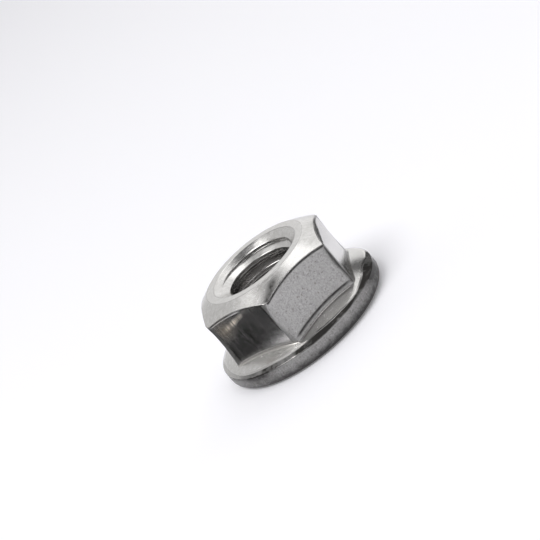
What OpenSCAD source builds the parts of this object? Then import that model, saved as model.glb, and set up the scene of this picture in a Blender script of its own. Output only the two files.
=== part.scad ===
// Hex flange nut, cold formed in one piece: a hexagon that rises from a round, cone-topped flange.
// The origin is the centre of the bearing face, and +Z runs along the thread away from the joint.

/* [Thread] */
// Nominal diameter of the thread
thread_d = 8; // [6:0.5:9.5]
// Pitch of the thread
thread_pitch = 1.25; // [0.75:0.05:1.5]
// How much wider the top countersink is than the thread
top_sink_over = 1.2; // [0.4:0.05:1.4]
// How much wider the countersink in the bearing face is than the thread
seat_sink_over = 0.8; // [0.4:0.05:1.2]
// Included angle of both countersinks
sink_angle = 110; // [90:1:120]

/* [Hexagon] */
// Height from the bearing face to the top face
nut_h = 8; // [7:0.1:10]
// Width across the flats
across_flats = 13; // [12.5:0.1:13.5]
// How far the top chamfer reaches in from the middle of each flat
chamfer_w = 1.05; // [0.5:0.05:1.1]
// Slope of the top chamfer, from the horizontal
chamfer_angle = 30; // [20:1:35]
// Depth missing from each sharp corner at its waist
corner_cut = 0.32; // [0.2:0.01:0.45]
// Height of the corners' waist above the flange's cone
waist_rise = 2.65; // [2:0.05:3.2]
// Radius of the hollow that the corners follow, from the chamfer to the flange
corner_hollow_r = 10; // [8:0.5:14]
// Radius of the fillet at the foot of each flat
foot_r = 2.5; // [1.5:0.1:3.5]
// Height at which that fillet leaves the flat
foot_z = 2.9; // [2.7:0.05:3.2]

/* [Flange] */
// Outside diameter of the flange
flange_d = 17; // [16.5:0.1:20]
// Height of the rim, to the crease where the cone starts
rim_h = 2; // [1.6:0.05:2.2]
// Radius of the rim's shoulder
shoulder_r = 0.55; // [0.3:0.05:0.7]
// Radius of the edge round the bearing face
seat_edge_r = 0.8; // [0.3:0.05:0.9]
// Slope of the flange's cone, from the horizontal
cone_angle = 21; // [15:1:25]

/* [Hidden] */
$fn = 96;
// The nut has six flats, so opposite flats make three pairs
flat_pairs = 3;
pair_step = 180 / flat_pairs;
// How far a cutting shape runs past the surface that it cuts
overrun = 1;

// Thread: the bore is drilled to the minor diameter of the basic profile
minor_depth = 5 / 8 * sqrt(3) / 2 * thread_pitch;
minor_r = thread_d / 2 - minor_depth;

// Hexagon
flat_r = across_flats / 2;
sharp_r = flat_r / cos(pair_step / 2);
waist_r = sharp_r - corner_cut;
chamfer_r = flat_r - chamfer_w;
function chamfer_z(r) = nut_h - (r - chamfer_r) * tan(chamfer_angle);

// Flange
flange_r = flange_d / 2;
crease_r = flange_r - shoulder_r;
function cone_z(r) = rim_h + (crease_r - r) * tan(cone_angle);

// The hexagon starts inside the flange, where the rim has its full width
core_z = seat_edge_r;

// The corners are narrowest at this height
waist_z = cone_z(waist_r) + waist_rise;

// Section of the flange: bearing face, rounded rim and cone
module flange_section() {
    polygon([
        [0, 0],
        [flange_r - seat_edge_r, 0],
        [flange_r, seat_edge_r],
        [flange_r, rim_h - shoulder_r],
        [crease_r, rim_h],
        [0, cone_z(0)]
    ]);
    translate([flange_r - seat_edge_r, seat_edge_r]) circle(seat_edge_r);
    translate([crease_r, rim_h - shoulder_r]) circle(shoulder_r);
}

// Section that the hexagon's corners and its top chamfer are turned to, no wider than the flange's crease
module corner_section() {
    difference() {
        polygon([
            [0, core_z],
            [crease_r, core_z],
            [crease_r, chamfer_z(crease_r)],
            [chamfer_r, nut_h],
            [0, nut_h]
        ]);
        translate([waist_r + corner_hollow_r, waist_z]) circle(corner_hollow_r);
    }
}

// Two opposite flats, each with a fillet that sweeps out at its foot
module flat_pair_section() {
    translate([-flat_r, 0]) square([across_flats, nut_h]);
    for (side = [0, 1]) {
        mirror([side, 0]) translate([flat_r, 0]) difference() {
            square([foot_r, foot_z]);
            translate([foot_r, foot_z]) circle(foot_r);
        }
    }
}

module flat_pair() {
    rotate([90, 0, 0]) linear_extrude(flange_d, center = true) flat_pair_section();
}

module hexagon() {
    intersection() {
        rotate_extrude() corner_section();
        flat_pair();
        rotate([0, 0, pair_step]) flat_pair();
        rotate([0, 0, 2 * pair_step]) flat_pair();
    }
}

// A countersink whose mouth is at the height given, widening downwards or upwards
module countersink(mouth_r, z, upwards) {
    depth = mouth_r / tan(sink_angle / 2);
    run = overrun * tan(sink_angle / 2);
    translate([0, 0, z]) mirror([0, 0, upwards ? 0 : 1]) translate([0, 0, -depth])
        cylinder(h = depth + overrun, r1 = 0, r2 = mouth_r + run);
}

module flange_nut() {
    color("silver") difference() {
        union() {
            rotate_extrude() flange_section();
            hexagon();
        }
        translate([0, 0, -overrun]) cylinder(h = nut_h + 2 * overrun, r = minor_r);
        countersink((thread_d + top_sink_over) / 2, nut_h, true);
        countersink((thread_d + seat_sink_over) / 2, 0, false);
    }
}

flange_nut();
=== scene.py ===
"""Looks of the hex flange nut: one closed mesh with soft edges and a helical thread, in worn stainless steel."""
import math

import bpy
import numpy as np
from mathutils import Matrix, Vector


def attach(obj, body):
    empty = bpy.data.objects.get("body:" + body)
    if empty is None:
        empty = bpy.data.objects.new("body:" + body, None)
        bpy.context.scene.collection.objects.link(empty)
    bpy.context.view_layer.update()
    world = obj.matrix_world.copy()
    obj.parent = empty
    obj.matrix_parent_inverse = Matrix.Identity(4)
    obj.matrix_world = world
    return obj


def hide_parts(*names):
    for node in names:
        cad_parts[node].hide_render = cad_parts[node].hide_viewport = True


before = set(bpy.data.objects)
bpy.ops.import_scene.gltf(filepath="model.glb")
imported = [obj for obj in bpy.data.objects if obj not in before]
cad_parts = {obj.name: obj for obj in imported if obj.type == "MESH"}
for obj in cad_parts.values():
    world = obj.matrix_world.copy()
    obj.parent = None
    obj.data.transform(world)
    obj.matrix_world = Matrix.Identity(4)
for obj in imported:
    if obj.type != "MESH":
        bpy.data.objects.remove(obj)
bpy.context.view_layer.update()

MM = 0.001

# Sizes of the solid, in mm
NUT_H = 8.0
FLAT_R = 6.5
MAJOR_R = 4.0
PITCH = 1.25
MINOR_R = MAJOR_R - 5 / 8 * math.sqrt(3) / 2 * PITCH
TOP_MOUTH_R = 4.6
SEAT_MOUTH_R = 4.4
SINK_SLOPE = math.tan(math.radians(55))
CHAMFER_R = 5.45
CHAMFER_SLOPE = math.tan(math.radians(30))
FLANGE_R = 8.5
RIM_H = 2.0
CREASE_R = 7.95
CONE_SLOPE = math.tan(math.radians(21))
CORNER_CUT = 0.32
WAIST_RISE = 2.65
HOLLOW_R = 10.0
SHARP_R = FLAT_R / math.cos(math.radians(30))

# How far the thread is turned, as the bore in the photograph shows it
THREAD_TURN = math.radians(95)

# The hexagon's corners are hollow, narrowest at the waist, and not all worn alike, counted round from +X
WAIST_Z = RIM_H + (CREASE_R - SHARP_R + CORNER_CUT) * CONE_SLOPE + WAIST_RISE
CORNER_CUTS = (0.28, 0.13, 0.22, 0.32, 0.26, 0.38)

# Rounds on the edges, in mm
SEAT_EDGE = 0.8
SHOULDER_ROUND = 0.14
CREST_ROUND = 0.08
CREASE_ROUND = 0.06
FOOT_ROUND, DRAWN_FOOT_ROUND = 0.08, 0.35
CHAMFER_EDGE, CHAMFER_EDGE_WORN = 0.11, 0.4
TOP_ROUND = 0.35
TOP_MOUTH_ROUND = 0.08
SEAT_MOUTH_ROUND = 0.08
CORNER_BLEND = 0.08
SINK_BLEND = 0.05
THREAD_CREST_ROUND, THREAD_ROOT_ROUND = 0.06, 0.08

# The rim ends in a bevel, then a narrow crest
BEVEL_Z = 1.66
CREST_IN = 0.45
CREST_Z = 1.94
CREASE_IN = 0.06

# A fine score runs under the chamfer's edge, and fades out across the drawn flats
SCORE_BELOW = 0.05
SCORE_DEPTH = 0.05
SCORE_HALF = 0.065
SCORE_FADE = math.radians(14)

# The frosted flats end above the flange in a fine groove, with a narrow ledge below it
LEDGE_H = 0.38
LEDGE_OUT = 0.06
GROOVE_DEPTH = 0.05
GROOVE_HALF = 0.085

# The drawn flats lighten towards the flange over this height
SWEEP_H = 0.55

# Limits for the heights of the hexagon's foot and of its upper edge, and how far from them the wall's slope is read
FOOT_Z_MOST = 3.2
EDGE_Z_LEAST = 6.0
EDGE_REACH = 0.25

# How dark the painted shade is in the score and groove, under the rim, round the top ring, on the corners and at the
# feet
LINE_SHADE = 1.15
SEAT_EDGE_SHADE, SEAT_EDGE_SHADE_TOP = 1.3, 1.1
RING_SHADE = 0.35
CORNER_SHADE = (0.0, 0.95, 0.3, 0.2, 0.5, 0.1)
CORNER_SHADE_HALF = math.radians(1.2)
FOOT_SHADE = (0.0, 0.0, 0.8, 0.0, 0.6, 0.0)

# Where the painted shade on the rim starts to rise and over what height it grows, and how much of the bevel's painted
# shade its foot has
SHADE_PATCH_Z, SHADE_PATCH_RISE = 0.7, 0.8
BEVEL_FOOT_SHARE = 0.4

# How far the corners' own finish reaches, from the corner and from the middle of a flat
CORNER_REACH = math.radians(4)
CORNER_FROM = math.radians(26)

# Grid
FLATS = 6
SECTOR = math.radians(360 / FLATS)
COLUMNS_PER_FLAT = 48
CORNER_CROWDING = 0.75
FLANK_ROWS = 5
SNAP = 0.012


def unit(v):
    return v / np.maximum(np.linalg.norm(v, axis=-1, keepdims=True), 1e-12)


def soft_min(a, b, width):
    overlap = np.maximum(width - np.abs(a - b), 0) / width
    return np.minimum(a, b) - overlap * overlap * width / 4


def soft_max(a, b, width):
    return -soft_min(-a, -b, width)


def column_angles():
    """Angles of the grid's columns, crowded at the hexagon's corners, and each one's angle from its flat's middle."""
    u = np.arange(COLUMNS_PER_FLAT) / COLUMNS_PER_FLAT
    share = u - CORNER_CROWDING * np.sin(2 * np.pi * u) / (2 * np.pi)
    local = (share - 0.5) * SECTOR
    theta = np.concatenate([k * SECTOR + local for k in range(FLATS)])
    return theta, np.tile(local, FLATS)


THETA, FROM_FLAT = column_angles()
COLUMNS = len(THETA)
FROSTED = np.repeat(np.arange(FLATS) % 2, COLUMNS_PER_FLAT)
CUT = np.array(CORNER_CUTS)[np.floor(THETA / SECTOR).astype(int) % FLATS]
# Painted shade in a thin line down some of the hexagon's corners
CORNER_SHADE_MASK = np.array(CORNER_SHADE)[np.floor(THETA / SECTOR).astype(int) % FLATS] * np.exp(
    -((SECTOR / 2 - np.abs(FROM_FLAT)) / CORNER_SHADE_HALF) ** 2
)
CORNER_FADE = np.clip((SECTOR / 2 - np.abs(FROM_FLAT)) / CORNER_REACH, 0, 1)
FLANGE_Z = RIM_H + (CREASE_R - FLAT_R / np.cos(FROM_FLAT)) * CONE_SLOPE


def wave(*terms):
    """Sum of waves around the nut, each given by its height, count and phase."""
    return sum(height * np.sin(count * THETA + phase) for height, count, phase in terms)


# Forming left the bevel and the crest uneven
BEVEL_WAVE = wave((0.05, 2, 5.2), (0.03, 5, 1.0), (0.015, 13, 2.0))
CREST_WAVE = wave((0.03, 2, 3.3), (0.02, 3, 0.6), (0.015, 7, 4.0), (0.006, 19, 1.0), (0.004, 37, 0.4))


def patch(middle, half):
    """1 at an angle round the nut, in degrees, falling to 0 on both sides of it."""
    away = np.degrees(np.angle(np.exp(1j * (THETA - np.radians(middle)))))
    return np.exp(-(away / half) ** 2)


def patches(*terms):
    """Sum of patches, each given by its angle, half width and height."""
    return sum(height * patch(middle, half) for middle, half, height in terms)


# Where painted shade and painted dark reflections lie on the rim, bevel, crest and cone, where the crest was pushed
# in or out, where the chamfer's edge is worn rounder, and where painted shade darkens the chamfer's edge, a wedge on
# it and the top countersink's mouth
SHADE_PATCH = patches((-7.5, 12, 1.2), (104, 12, 1.1))
BEVEL_SHADE = 0.15 + patches(
    (0, 30, 0.8), (22, 7, -0.22), (40, 22, 0.9), (75, 22, 1.2), (95, 7, 0.4), (107, 14, 0.85), (250, 40, 0.5)
)
BEVEL_SHADE = BEVEL_SHADE * (1 + wave((0.1, 17, 0.4), (0.07, 37, 2.0)))
CREST_PUSH = patches(
    (-17, 17, -0.2), (42, 9, 0.14), (76, 11, -0.18), (108, 11, 0.3), (134, 10, -0.2), (215, 30, -0.15)
)
CREST_SHADE = patches((12, 28, 0.4), (62, 12, 0.3), (80, 10, 0.5), (92, 6, 0.7), (108, 11, 0.3))
CONE_SHADE = 0.03 + patches((24, 8, 0.2), (64, 20, 0.08), (110, 7, 0.6))
RIM_SHADE = 0.175 + patches((70, 50, 0.125), (110, 14, 0.4))
# The chamfer's edge is worn rounder near 107 and 150 degrees, and painted shade darkens it near 107, 23 and 31
# degrees
WORN_AND_SHADED_EDGE = patch(107, 18) * CORNER_FADE * (np.arange(COLUMNS) // COLUMNS_PER_FLAT == 2)
EDGE_WEAR = np.maximum(patches((150, 50, 0.8)), WORN_AND_SHADED_EDGE)
EDGE_SHADE = np.maximum(0.95 * WORN_AND_SHADED_EDGE, patches((23, 9, 0.5), (31.2, 2.2, 0.9)))
MOUTH_SHADE = 0.35 * (1 - patch(245, 50))
# Where the chamfer gets a wedge of painted dark reflection
WEDGE_ANGLE, WEDGE_HALF, WEDGE_SLANT, WEDGE_R = 45.5, 5.5, -9.0, 5.78
WEDGE_SHADE, WEDGE_FADE = 1.1, 0.3


def wall_radius(z):
    """Radius of the hexagon's wall at height z in each column."""
    above = z - FLANGE_Z
    ledge = LEDGE_OUT * np.clip(1 - above / LEDGE_H, 0, 1.5) ** 2
    groove = GROOVE_DEPTH * np.exp(-((above - LEDGE_H) / GROOVE_HALF) ** 2)
    flat = (FLAT_R + FROSTED * CORNER_FADE * (ledge - groove)) / np.cos(FROM_FLAT)
    corner = SHARP_R - CUT + HOLLOW_R - np.sqrt(HOLLOW_R ** 2 - (z - WAIST_Z) ** 2)
    return soft_min(flat, corner, CORNER_BLEND)


def meet(low, high, outside):
    """Height in each column, between low and high, where outside(z) turns from positive to negative or back."""
    a, b = np.full(COLUMNS, low), np.full(COLUMNS, high)
    sign = np.sign(outside(a))
    for _ in range(50):
        m = (a + b) / 2
        same = np.sign(outside(m)) == sign
        a, b = np.where(same, m, a), np.where(same, b, m)
    return (a + b) / 2


def point(r, z):
    return np.stack([np.broadcast_to(r, COLUMNS), np.broadcast_to(z, COLUMNS)], -1).astype(float)


def arc(a, b, c, radius, count):
    """Rows of the round that replaces corner b of the line a, b, c."""
    u, v = unit(a - b), unit(c - b)
    half = 0.5 * np.arccos(np.clip((u * v).sum(-1), -1, 1))
    reach = (radius / np.tan(half))[:, None]
    centre = b + unit(u + v) * (radius / np.sin(half))[:, None]
    start, end = b + u * reach - centre, b + v * reach - centre
    span = np.maximum(np.pi - 2 * half, 1e-5)[:, None]
    return [
        centre + (np.sin((1 - s) * span) * start + np.sin(s * span) * end) / np.sin(span)
        for s in np.linspace(0, 1, count)
    ]


def between(a, b, count):
    """Rows between two rows, closer together near both."""
    return [a + (b - a) * (0.5 - 0.5 * math.cos(math.pi * k / (count + 1))) for k in range(1, count + 1)]


def outer_rows():
    """Rows of the outside from the seat's countersink to the top one, each with its zone's name and its painted
    shade.
    """
    foot_z = meet(RIM_H, FOOT_Z_MOST, lambda z: wall_radius(z) - (CREASE_R - (z - RIM_H) / CONE_SLOPE))
    edge_z = meet(EDGE_Z_LEAST, NUT_H, lambda z: wall_radius(z) - (CHAMFER_R + (NUT_H - z) / CHAMFER_SLOPE))
    sink_in = point(SEAT_MOUTH_R - SINK_SLOPE, 1.0)
    seat_mouth = point(SEAT_MOUTH_R, 0)
    seat_corner = point(FLANGE_R, 0)
    bevel = point(FLANGE_R, BEVEL_Z + BEVEL_WAVE)
    crest = point(FLANGE_R - CREST_IN + CREST_WAVE - CREST_PUSH, CREST_Z + CREST_PUSH * CONE_SLOPE)
    crease = point(CREASE_R - CREASE_IN - CREST_PUSH, RIM_H + (CREASE_IN + CREST_PUSH) * CONE_SLOPE)
    foot = point(wall_radius(foot_z), foot_z)
    above_foot = point(wall_radius(foot_z + EDGE_REACH), foot_z + EDGE_REACH)
    edge = point(wall_radius(edge_z), edge_z)
    below_edge = point(wall_radius(edge_z - EDGE_REACH), edge_z - EDGE_REACH)
    chamfer = point(CHAMFER_R, NUT_H)
    top_mouth = point(TOP_MOUTH_R, NUT_H)
    sink_out = point(TOP_MOUTH_R - SINK_SLOPE, NUT_H - 1.0)

    rows = []

    def add(zone, new, painted_shade=0.0):
        rows.extend((zone, r, np.broadcast_to(painted_shade, COLUMNS)) for r in new)

    def bridge(zone, count, new_zone, new, painted_shade=0.0):
        add(zone, between(rows[-1][1], new[0], count), rows[-1][2])
        add(new_zone, new, painted_shade)

    add("seat", arc(sink_in, seat_mouth, seat_corner, SEAT_MOUTH_ROUND, 4))
    edge_rows = arc(seat_mouth, seat_corner, bevel, SEAT_EDGE, 12)
    add("seat", between(rows[-1][1], edge_rows[0], 6))
    bevel_rows = arc(seat_corner, bevel, crest, SHOULDER_ROUND, 6)
    # The rim gets painted shade, deepest at its foot, and patches of painted shade that grow upwards
    for row in [*edge_rows, *between(edge_rows[-1], bevel_rows[0], 6)]:
        low = np.clip(SEAT_EDGE_SHADE_TOP - row[:, 1], 0, 1)
        high = np.clip((row[:, 1] - SHADE_PATCH_Z) / SHADE_PATCH_RISE, 0, 1)
        add("rim", [row], RIM_SHADE + SEAT_EDGE_SHADE * low + SHADE_PATCH * high)
    # Painted shade on the bevel, standing in for its dark reflection
    for row, share in zip(bevel_rows, np.linspace(0, 1, len(bevel_rows))):
        shade_amount = BEVEL_SHADE * (BEVEL_FOOT_SHARE + (1 - BEVEL_FOOT_SHARE) * share)
        add("bevel", [row], shade_amount + SHADE_PATCH * (1 - share))
    # Painted shade on the crest and the cone, standing in for dark reflections
    bridge("bevel", 3, "crest", arc(bevel, crest, crease, CREST_ROUND, 4), CREST_SHADE)
    bridge("crest", 2, "cone", arc(crest, crease, foot, CREASE_ROUND, 3), CONE_SHADE)
    foot_round = FOOT_ROUND + (DRAWN_FOOT_ROUND - FOOT_ROUND) * CORNER_FADE * (1 - FROSTED)
    # Painted shade at the feet of two flats
    foot_shade = np.repeat(FOOT_SHADE, COLUMNS_PER_FLAT)
    bridge("cone", 7, "foot", arc(crease, foot, above_foot, foot_round, 7), foot_shade)
    edge_round = CHAMFER_EDGE + (CHAMFER_EDGE_WORN - CHAMFER_EDGE) * EDGE_WEAR
    edge_arc = arc(below_edge, edge, chamfer, edge_round, 8)

    # The wall's rows crowd together at the groove and at the score
    z0, z1 = rows[-1][1][:, 1], edge_arc[0][:, 1]
    ledge_z = np.maximum(FLANGE_Z + LEDGE_H - 2.5 * GROOVE_HALF, z0 + 0.05)
    low = z0 + (ledge_z - z0) * np.linspace(0.12, 1, 5)[:, None]
    groove = low[-1] + GROOVE_HALF * np.linspace(0.5, 5, 10)[:, None]
    score = z1 - SCORE_BELOW
    scored = [score + SCORE_HALF * k for k in np.linspace(-2, 1.5, 8)]
    # Painted shade in the groove and down some of the corners
    for z in [*low, *groove, *between(groove[-1], scored[0], 20)]:
        near = np.exp(-((z - FLANGE_Z - LEDGE_H) / GROOVE_HALF) ** 2)
        add("wall", [point(wall_radius(z), z)], np.maximum(LINE_SHADE * near * FROSTED * CORNER_FADE, CORNER_SHADE_MASK))
    length = np.clip(np.where(FROSTED == 1, 1, 0.5 - FROM_FLAT / SCORE_FADE), 0, 1)
    # Painted shade in the score
    for z in scored:
        near = length * np.exp(-((z - score) / SCORE_HALF) ** 2)
        add("score", [point(wall_radius(z) - SCORE_DEPTH * near, z)], LINE_SHADE * near)
    # Painted shade under the chamfer's edge
    for row, share in zip(edge_arc, np.linspace(1.4, -0.6, len(edge_arc))):
        add("edge", [row], np.maximum(LINE_SHADE * length * np.clip(share, 0, 1), EDGE_SHADE))
    ring = arc(edge, chamfer, top_mouth, TOP_ROUND, 6)
    # A wedge of painted dark reflection on the chamfer
    for row in between(edge_arc[-1], ring[0], 6):
        wedge = patch(WEDGE_ANGLE + WEDGE_SLANT * (row[:, 0] - WEDGE_R), WEDGE_HALF)
        add("chamfer", [row], WEDGE_SHADE * wedge * np.clip((row[:, 0] - WEDGE_R) / WEDGE_FADE, 0, 1))
    add("top", ring[:3])
    # Painted shade on one row of the top's round
    add("top", ring[3:4], RING_SHADE)
    add("top", ring[4:])
    # Painted shade round the top countersink's mouth, except on one side
    bridge("top", 3, "mouth", arc(chamfer, top_mouth, sink_out, TOP_MOUTH_ROUND, 5), MOUTH_SHADE)
    return rows


def thread_profile():
    """Phase, in pitches from the middle of a groove, and radius of the rows that make one turn of the thread."""
    groove, crest, flank = PITCH / 16, PITCH / 8, 5 * PITCH / 16
    line = np.array([
        [-groove - flank - 2 * crest, MINOR_R], [-groove - flank, MINOR_R], [-groove, MAJOR_R],
        [groove, MAJOR_R], [groove + flank, MINOR_R], [PITCH - groove - flank, MINOR_R],
    ])
    rounds = (THREAD_CREST_ROUND, THREAD_ROOT_ROUND, THREAD_ROOT_ROUND, THREAD_CREST_ROUND)
    made = []
    for k, radius in enumerate(rounds, 1):
        a, b, c = (line[[k + d]] for d in (-1, 0, 1))
        rows = arc(a, b, c, radius, 3)
        if k in (2, 4):
            made += between(made[-1], rows[0], FLANK_ROWS)
        made += rows
    made = np.concatenate(made)
    return made[:, 0] / PITCH, made[:, 1]


def build_mesh():
    """Vertices in mm, faces, and the zone and painted shade of each vertex."""
    rows = outer_rows()
    zones = [zone for zone, _, _ in rows]
    radius = np.stack([p[:, 0] for _, p, _ in rows])
    height = np.stack([p[:, 1] for _, p, _ in rows])
    outer_count = len(rows)
    outer = np.arange(outer_count * COLUMNS).reshape(outer_count, COLUMNS)
    verts = [np.stack([radius * np.cos(THETA), radius * np.sin(THETA), height], -1).reshape(-1, 3)]
    names = [np.repeat(np.array(zones, dtype=object), COLUMNS)]
    painted_shade = [np.stack([g for _, _, g in rows]).ravel()]

    low_z, high_z = height[0, 0], height[-1, 0]
    phase, profile = thread_profile()
    order = np.argsort(phase)
    phase, profile = phase[order], profile[order]
    per_turn = len(phase)
    base = low_z - 2 * PITCH
    turns = int(math.ceil((high_z - base) / PITCH)) + 1
    rise = PITCH * (THETA + THREAD_TURN) / (2 * math.pi)
    z = base + PITCH * (np.arange(turns)[:, None] + phase[None, :]).reshape(-1, 1) + rise
    r = np.repeat(np.tile(profile, turns)[:, None], COLUMNS, 1)
    r = soft_max(r, TOP_MOUTH_R - (NUT_H - z) * SINK_SLOPE, SINK_BLEND)
    r = soft_max(r, SEAT_MOUTH_R - z * SINK_SLOPE, SINK_BLEND)
    below, above = z < low_z + SNAP, z > high_z - SNAP
    inside = ~(below | above)
    bore = np.zeros(z.shape, int)
    bore[inside] = outer.size + np.arange(inside.sum())
    bore[below] = np.broadcast_to(outer[0], z.shape)[below]
    bore[above] = np.broadcast_to(outer[-1], z.shape)[above]
    around = np.broadcast_to(THETA, z.shape)
    verts.append(np.stack([r * np.cos(around), r * np.sin(around), z], -1)[inside])
    names.append(np.array(["thread"] * int(inside.sum()), dtype=object))
    painted_shade.append(np.zeros(int(inside.sum())))

    faces = []
    nxt = (np.arange(COLUMNS) + 1) % COLUMNS
    for k in range(outer_count - 1):
        faces += np.stack([outer[k], outer[k][nxt], outer[k + 1][nxt], outer[k + 1]], -1).tolist()
    count = len(bore)
    for i in range(count - 1):
        for j in range(COLUMNS):
            turn = per_turn if j == COLUMNS - 1 else 0
            if i + 1 + turn >= count:
                continue
            n = nxt[j]
            ring = [bore[i, j], bore[i + 1, j], bore[i + 1 + turn, n], bore[i + turn, n]]
            ring = [int(v) for s, v in enumerate(ring) if v != ring[s - 1]]
            if len(ring) > 2 and len(set(ring)) == len(ring):
                faces.append(ring)
    return np.concatenate(verts), faces, np.concatenate(names), np.concatenate(painted_shade)


def make_nut():
    verts, faces, zone, painted_shade = build_mesh()
    mesh = bpy.data.meshes.new("hex_flange_nut")
    mesh.from_pydata((verts * MM).tolist(), [], faces)
    mesh.validate()
    mesh.polygons.foreach_set("use_smooth", [True] * len(mesh.polygons))
    mesh.update()
    nut = bpy.data.objects.new("hex_flange_nut", mesh)
    bpy.context.collection.objects.link(nut)

    def attribute(name, values):
        mesh.attributes.new(name, "FLOAT", "POINT").data.foreach_set("value", values.astype(np.float32))

    angle = np.arctan2(verts[:, 1], verts[:, 0])
    flat = np.round(angle / SECTOR).astype(int) % FLATS
    off = np.abs(angle - np.round(angle / SECTOR) * SECTOR)
    wall = np.isin(zone, ["wall", "score"])
    frosted = (wall & ((flat % 2 == 1) | (off > CORNER_FROM))) | (zone == "rim")
    attribute("frosted", frosted.astype(float))
    attribute("drawn", (wall | (zone == "foot")).astype(float))
    above = verts[:, 2] - RIM_H - (CREASE_R - np.hypot(verts[:, 0], verts[:, 1])) * CONE_SLOPE
    swept = (wall | (zone == "foot")) & (flat % 2 == 0)
    attribute("swept", swept * np.clip(1 - above / SWEEP_H, 0, 1))
    attribute("turned", np.isin(zone, ["thread", "top", "mouth", "seat"]).astype(float))
    attribute("burnished", np.isin(zone, ["bevel", "crest", "mouth"]).astype(float))
    attribute("painted_shade", painted_shade)
    return nut


class Nodes:
    """Short calls for a node tree."""

    def __init__(self, tree):
        self.tree = tree
        tree.nodes.clear()

    def put(self, socket, value):
        if isinstance(value, bpy.types.NodeSocket):
            self.tree.links.new(value, socket)
        else:
            socket.default_value = value

    def add(self, kind, settings=None, **inputs):
        """A node with its settings and inputs; i0, i1 and so on are inputs by number, the rest by name."""
        node = self.tree.nodes.new(kind)
        for key, value in (settings or {}).items():
            setattr(node, key, value)
        for key, value in inputs.items():
            numbered = key[0] == "i" and key[1:].isdigit()
            self.put(node.inputs[int(key[1:]) if numbered else key.replace("_", " ")], value)
        return node

    def math(self, operation, a, b=0.0, clamp=False):
        return self.add("ShaderNodeMath", {"operation": operation, "use_clamp": clamp}, i0=a, i1=b).outputs[0]

    def times(self, a, b):
        return self.math("MULTIPLY", a, b)

    def line(self, value, slope, start):
        settings = {"operation": "MULTIPLY_ADD"}
        return self.add("ShaderNodeMath", settings, i0=value, i1=slope, i2=start).outputs[0]

    def attribute(self, name):
        return self.add("ShaderNodeAttribute", {"attribute_name": name}).outputs["Fac"]

    def noise(self, vector, scale, detail=3.0, rough=0.55):
        node = self.add("ShaderNodeTexNoise", None, Vector=vector, Scale=scale, Detail=detail, Roughness=rough)
        return node.outputs["Fac"]

    def ramp(self, value, low, high, kind="LINEAR"):
        settings = {"clamp": True, "interpolation_type": kind}
        return self.add("ShaderNodeMapRange", settings, Value=value, From_Min=low, From_Max=high).outputs[0]

    def spot(self, vector, middle, half, slope):
        """1 in the middle of an ellipsoid, turned about X, falling to 0 at its edge."""
        near = self.add("ShaderNodeMapping", {"vector_type": "TEXTURE"}, Vector=vector, Location=middle,
                        Rotation=(slope, 0.0, 0.0), Scale=half).outputs[0]
        away = self.add("ShaderNodeVectorMath", {"operation": "LENGTH"}, i0=near).outputs["Value"]
        return self.ramp(away, 1.0, 0.0, "SMOOTHSTEP")

    def mix(self, factor, a, b):
        node = self.add("ShaderNodeMix", {"data_type": "RGBA"})
        for socket, value in ((node.inputs[0], factor), (node.inputs[6], a), (node.inputs[7], b)):
            self.put(socket, value)
        return node.outputs[2]


# A painted highlight on the flat that faces +X and a softer painted reflection round it: middles, half sizes and
# slope
GLINT_MIDDLE = (6.5, -0.58, 6.46)
GLINT_HALF = (0.4, 2.35, 0.44)
HALO_MIDDLE = (6.5, -2.2, 6.0)
HALO_HALF = (0.4, 2.4, 1.6)
GLINT_SLOPE = math.radians(18.2)

# Colours of the steel and of the marks on it, with the painted highlight, the painted reflection round it and the
# painted shade
STEEL_DARK, STEEL_LIGHT = (0.56, 0.55, 0.535, 1), (0.65, 0.64, 0.63, 1)
FROST_DARK, FROST_LIGHT = (0.255, 0.25, 0.245, 1), (0.57, 0.565, 0.555, 1)
FROST_STREAK = (0.24, 0.235, 0.23, 1)
FROST_BLOTCH = (0.42, 0.415, 0.405, 1)
PIT = (0.17, 0.15, 0.13, 1)
HALO_COLOUR = (0.46, 0.41, 0.345, 1)
SWEPT = (0.45, 0.435, 0.41, 1)
GLINT_COLOUR = (0.78, 0.70, 0.57, 1)
SHADE_COLOUR = (0.04, 0.038, 0.036, 1)

# How strongly the marks tint the frosted steel, and how much of the bare metal each one covers, the painted
# highlight, reflection and shade among them
STREAK_TINT, BLOTCH_TINT, PIT_TINT = 0.35, 0.5, 0.65
HALO_COVER, GLINT_COVER, STREAK_COVER, SWEPT_COVER, SHADE_COVER = 0.3, 0.85, 0.13, 0.4, 0.8

# Roughness and gloss, and what each finish, and the painted shade, adds or takes
ROUGH, FROST_ROUGH, STREAK_ROUGH, SMUDGE_ROUGH = 0.25, 0.18, 0.04, 0.16
DRAWN_SMOOTH, BURNISHED_SMOOTH = 0.05, 0.1
GLOSS, SHADE_GLOSS = 0.5, -0.45

# Relief of the grain, streaks, rings, pits and smudges
GRAIN_RELIEF, FROST_RELIEF, STREAK_RELIEF, RING_RELIEF, PIT_RELIEF = 0.16, 0.5, 0.06, 0.4, 0.6
SMUDGE_RELIEF, DRAWN_RELIEF = 0.16, -0.13
BUMP_STRENGTH, BUMP_DEPTH = 0.5, 0.02


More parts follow.
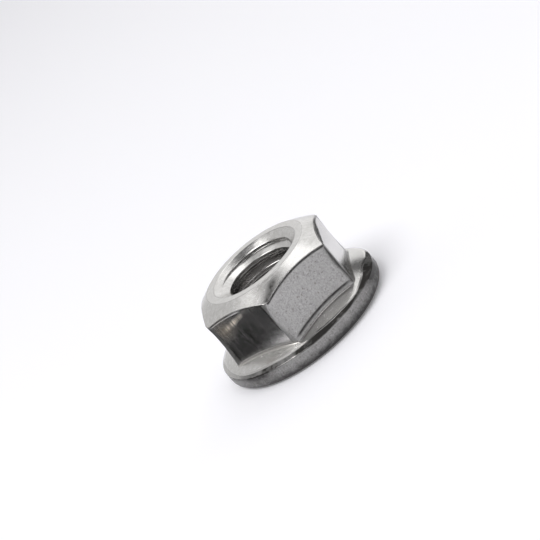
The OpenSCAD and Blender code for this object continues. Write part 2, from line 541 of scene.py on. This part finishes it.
def stainless():
    """Cold-formed stainless steel: drawn streaks along the flats, frosted patches, turned rings, a painted highlight
    on one flat and painted shade.
    """
    mat = bpy.data.materials.new("stainless")
    mat.use_nodes = True
    n = Nodes(mat.node_tree)
    place = n.add("ShaderNodeTexCoord").outputs["Object"]
    mm = n.add("ShaderNodeVectorMath", {"operation": "SCALE"}, i0=place, Scale=1 / MM).outputs[0]
    frosted, drawn, swept, turned, burnished, painted_shade = (
        n.attribute(a) for a in ("frosted", "drawn", "swept", "turned", "burnished", "painted_shade")
    )

    along = n.add("ShaderNodeMapping", None, Vector=mm, Scale=(8.0, 8.0, 0.1)).outputs[0]
    streaks = n.noise(along, 1.0, 3.0, 0.6)
    level = n.add("ShaderNodeVectorMath", {"operation": "MULTIPLY"}, i0=mm, i1=(1.0, 1.0, 0.0)).outputs[0]
    radius = n.add("ShaderNodeVectorMath", {"operation": "LENGTH"}, i0=level).outputs["Value"]
    rings = n.add("ShaderNodeTexNoise", {"noise_dimensions": "1D"}, W=radius, Scale=14.0, Detail=3.0).outputs["Fac"]
    grain = n.noise(mm, 7.0, 3.0, 0.7)
    smudge = n.noise(mm, 2.4, 5.0, 0.65)
    blotch = n.noise(mm, 1.1, 4.0, 0.6)
    pitted = n.ramp(n.noise(mm, 5.0, 2.0, 0.5), 0.645, 0.7)
    broken = n.ramp(n.noise(along, 1.0, 4.0, 0.8), 0.36, 0.56)
    # A painted highlight on the flat facing +X, broken into streaks, and a softer painted reflection round it
    glint = n.times(n.spot(mm, GLINT_MIDDLE, GLINT_HALF, GLINT_SLOPE), broken)
    halo = n.spot(mm, HALO_MIDDLE, HALO_HALF, GLINT_SLOPE)

    colour = n.mix(n.ramp(smudge, 0.35, 0.65), STEEL_DARK, STEEL_LIGHT)
    colour = n.mix(halo, colour, HALO_COLOUR)
    colour = n.mix(swept, colour, SWEPT)
    matte = n.mix(n.ramp(grain, 0.3, 0.7), FROST_DARK, FROST_LIGHT)
    matte = n.mix(n.times(n.ramp(streaks, 0.42, 0.68), STREAK_TINT), matte, FROST_STREAK)
    matte = n.mix(n.times(n.ramp(blotch, 0.4, 0.65), BLOTCH_TINT), matte, FROST_BLOTCH)
    matte = n.mix(n.times(pitted, PIT_TINT), matte, PIT)
    colour = n.mix(frosted, colour, matte)
    colour = n.mix(glint, colour, GLINT_COLOUR)
    # Painted shade from the vertex attribute, made patchy, darkens the colour and makes the metal less metallic and
    # less glossy
    patchy = n.add("ShaderNodeMapRange", {"clamp": True}, Value=smudge, From_Min=0.36, From_Max=0.6, To_Min=0.66)
    shade_amount = n.times(painted_shade, patchy.outputs[0])
    colour = n.mix(shade_amount, colour, SHADE_COLOUR)

    film = n.math("ADD", n.times(halo, HALO_COVER), n.times(glint, GLINT_COVER))
    film = n.math("ADD", film, n.times(drawn, n.times(n.ramp(streaks, 0.45, 0.72), STREAK_COVER)))
    film = n.math("ADD", film, n.times(swept, SWEPT_COVER))
    metallic = n.math("SUBTRACT", n.math("SUBTRACT", 1.0, film), n.times(shade_amount, SHADE_COVER), True)

    gloss = n.line(n.times(shade_amount, burnished), SHADE_GLOSS, GLOSS)
    rough = n.line(frosted, FROST_ROUGH, ROUGH)
    rough = n.math("SUBTRACT", rough, n.times(drawn, DRAWN_SMOOTH))
    rough = n.math("SUBTRACT", rough, n.times(burnished, BURNISHED_SMOOTH))
    rough = n.math("ADD", rough, n.times(n.math("SUBTRACT", smudge, 0.5), SMUDGE_ROUGH))
    rough = n.math("ADD", rough, n.times(n.times(drawn, n.ramp(streaks, 0.55, 0.7)), STREAK_ROUGH), True)

    height = n.times(grain, n.line(frosted, FROST_RELIEF, GRAIN_RELIEF))
    height = n.math("ADD", height, n.times(streaks, n.times(drawn, STREAK_RELIEF)))
    height = n.math("ADD", height, n.times(rings, n.times(turned, RING_RELIEF)))
    height = n.math("SUBTRACT", height, n.times(pitted, n.times(frosted, PIT_RELIEF)))
    height = n.math("ADD", height, n.times(smudge, n.line(drawn, DRAWN_RELIEF, SMUDGE_RELIEF)))
    bump = n.add("ShaderNodeBump", None, Strength=BUMP_STRENGTH, Distance=BUMP_DEPTH * MM, Height=height).outputs[0]

    shader = n.add("ShaderNodeBsdfPrincipled", None, Base_Color=colour, Metallic=metallic, Roughness=rough,
                   Specular_IOR_Level=gloss, Normal=bump)
    n.add("ShaderNodeOutputMaterial", None, Surface=shader.outputs[0])
    return mat


# The floor's half width in m, its colour, and the glow that whitens it where it is seen or mirrored
FLOOR_HALF = 3.0
FLOOR_COLOUR = (0.885, 0.88, 0.915, 1)
FLOOR_GLOW = 0.145


def make_floor():
    """White floor that keeps the nut's shadow."""
    mesh = bpy.data.meshes.new("floor")
    corners = [(FLOOR_HALF * x, FLOOR_HALF * y, 0) for x, y in ((-1, -1), (1, -1), (1, 1), (-1, 1))]
    mesh.from_pydata(corners, [], [(0, 1, 2, 3)])
    floor = bpy.data.objects.new("floor", mesh)
    bpy.context.collection.objects.link(floor)
    mat = bpy.data.materials.new("floor_white")
    mat.use_nodes = True
    n = Nodes(mat.node_tree)
    paper = n.add("ShaderNodeBsdfDiffuse", None, Color=FLOOR_COLOUR).outputs[0]
    path = n.add("ShaderNodeLightPath").outputs
    mirrored = n.math("MAXIMUM", path["Is Glossy Ray"], path["Is Transmission Ray"])
    seen = n.math("MAXIMUM", path["Is Camera Ray"], mirrored)
    glow = n.add("ShaderNodeEmission", None, Color=(1, 1, 1, 1), Strength=n.times(seen, FLOOR_GLOW)).outputs[0]
    both = n.add("ShaderNodeAddShader", None, i0=paper, i1=glow).outputs[0]
    n.add("ShaderNodeOutputMaterial", None, Surface=both)
    floor.data.materials.append(mat)


# Cards, in mm from the nut towards the camera, to the picture's right and up. Those that lie are given by their back,
# front, inner and outer edges, and those that stand by their place, inner and outer edges, foot and top.
LYING_CARDS = ((-16.0, 26.0, -10.5, -34.0), (-3.0, 12.0, 11.5, 40.0))
STANDING_CARDS = ((-6.7, 9.4, 18.0, 5.4, 10.3), (-12.0, 13.6, 26.0, 0.0, 12.0))
CARD_LIFT = 0.05
CARD_COLOUR = (0.02, 0.02, 0.02, 1)


def make_cards():
    """Black cards beside the nut, two that lie and two that stand; only the polished metal shows them."""
    toward, aside, up = compass(0, 0) * MM, compass(90, 0) * MM, Vector((0, 0, MM))
    mat = bpy.data.materials.new("card_black")
    mat.use_nodes = True
    n = Nodes(mat.node_tree)
    black = n.add("ShaderNodeBsdfDiffuse", None, Color=CARD_COLOUR).outputs[0]
    n.add("ShaderNodeOutputMaterial", None, Surface=black)
    made = []
    for back, front, inner, outer in LYING_CARDS:
        edges = ((back, inner), (back, outer), (front, outer), (front, inner))
        made.append([toward * x + aside * y + up * CARD_LIFT for x, y in edges])
    for x, y0, y1, z0, z1 in STANDING_CARDS:
        made.append([toward * x + aside * y + up * z for y, z in ((y0, z0), (y1, z0), (y1, z1), (y0, z1))])
    for k, corners in enumerate(made):
        mesh = bpy.data.meshes.new(f"card_{k}")
        mesh.from_pydata([tuple(c) for c in corners], [], [(0, 1, 2, 3)])
        mesh.materials.append(mat)
        card = bpy.data.objects.new(f"card_{k}", mesh)
        bpy.context.collection.objects.link(card)
        card.visible_camera = card.visible_diffuse = card.visible_shadow = card.visible_transmission = False


# Camera, read from the photograph: angles in degrees, sizes in mm
CAMERA_AZIMUTH = 41.59
CAMERA_ELEVATION = 19.62
CAMERA_ROLL = 40.36
CAMERA_DEPTH = 182.37
NUT_RIGHT, NUT_DOWN = 3.42, 5.0
SENSOR = 36.0
IMAGE_WIDTH, FOCAL_PIXELS = 540, 2000


def compass(azimuth, elevation):
    """Unit vector; azimuth is counted from the camera towards the picture's right."""
    a, e = math.radians(CAMERA_AZIMUTH + azimuth), math.radians(elevation)
    return Vector((math.cos(a) * math.cos(e), math.sin(a) * math.cos(e), math.sin(e)))


def make_camera():
    data = bpy.data.cameras.new("camera")
    data.sensor_width = SENSOR
    data.lens = FOCAL_PIXELS / IMAGE_WIDTH * SENSOR
    data.clip_start = 0.01
    cam = bpy.data.objects.new("camera", data)
    bpy.context.collection.objects.link(cam)
    back = compass(0, CAMERA_ELEVATION)
    level = Vector((0, 0, 1)).cross(back).normalized()
    roll = math.radians(CAMERA_ROLL)
    right = level * math.cos(roll) - back.cross(level) * math.sin(roll)
    up = back.cross(right)
    place = (back * CAMERA_DEPTH - right * NUT_RIGHT + up * NUT_DOWN) * MM
    cam.matrix_world = Matrix.Translation(place) @ Matrix((right, up, back)).transposed().to_4x4()
    bpy.context.scene.camera = cam


def softbox(name, azimuth, elevation, distance, width, depth, power):
    light = bpy.data.lights.new(name, "AREA")
    light.shape = "RECTANGLE"
    light.size, light.size_y, light.energy = width, depth, power
    box = bpy.data.objects.new(name, light)
    bpy.context.collection.objects.link(box)
    way = compass(azimuth, elevation)
    box.location = way * distance
    box.rotation_mode = "QUATERNION"
    box.rotation_quaternion = way.to_track_quat("Z", "Y")


# Softboxes: azimuth and elevation in degrees, then distance, width and depth in m, and power in W
SOFTBOXES = {
    "softbox_left": (-58, 60, 0.5, 0.3, 0.3, 1.4),
    "softbox_back": (141, 60, 0.5, 0.11, 0.2, 0.09),
    "softbox_fill": (-132, 66, 0.5, 0.12, 0.12, 0.02),
    "softbox_right": (54, 56, 0.5, 0.26, 0.26, 0.32),
}

# The room is dark, with a white sweep up to the horizon and behind the nut, and brightens to the picture's right
ROOM_DARK, ROOM_WHITE = (0.06, 0.06, 0.065, 1), (1.0, 1.0, 1.0, 1)
HORIZON_TOP, HORIZON_FULL = 0.14, 0.1
BACKDROP_START, BACKDROP_FULL = -0.12, -0.2
SIDE_LEFT, SIDE_RIGHT = -0.3, 0.27
LEVEL_LEFT, LEVEL_RIGHT = 0.73, 1.13


def make_light():
    for name, values in SOFTBOXES.items():
        softbox(name, *values)
    world = bpy.data.worlds.new("studio")
    bpy.context.scene.world = world
    world.use_nodes = True
    n = Nodes(world.node_tree)
    way = n.add("ShaderNodeTexCoord").outputs["Generated"]
    up = n.add("ShaderNodeSeparateXYZ", None, Vector=way).outputs["Z"]
    front, side = (
        n.add("ShaderNodeVectorMath", {"operation": "DOT_PRODUCT"}, i0=way, i1=tuple(compass(a, 0))).outputs["Value"]
        for a in (0, 90)
    )
    horizon = n.ramp(up, HORIZON_TOP, HORIZON_FULL)
    sweep = n.math("MAXIMUM", horizon, n.ramp(front, BACKDROP_START, BACKDROP_FULL))
    tone = n.mix(sweep, ROOM_DARK, ROOM_WHITE)
    level = n.add("ShaderNodeMapRange", {"clamp": True}, Value=side, From_Min=SIDE_LEFT, From_Max=SIDE_RIGHT,
                  To_Min=LEVEL_LEFT, To_Max=LEVEL_RIGHT)
    sky = n.add("ShaderNodeBackground", None, Color=tone, Strength=level.outputs[0]).outputs[0]
    n.add("ShaderNodeOutputWorld", None, Surface=sky)


nut = make_nut()
nut.data.materials.append(stainless())
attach(nut, "root")
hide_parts("flange_nut")
make_floor()
make_cards()
make_light()
make_camera()
bpy.context.scene.view_settings.view_transform = "Standard"
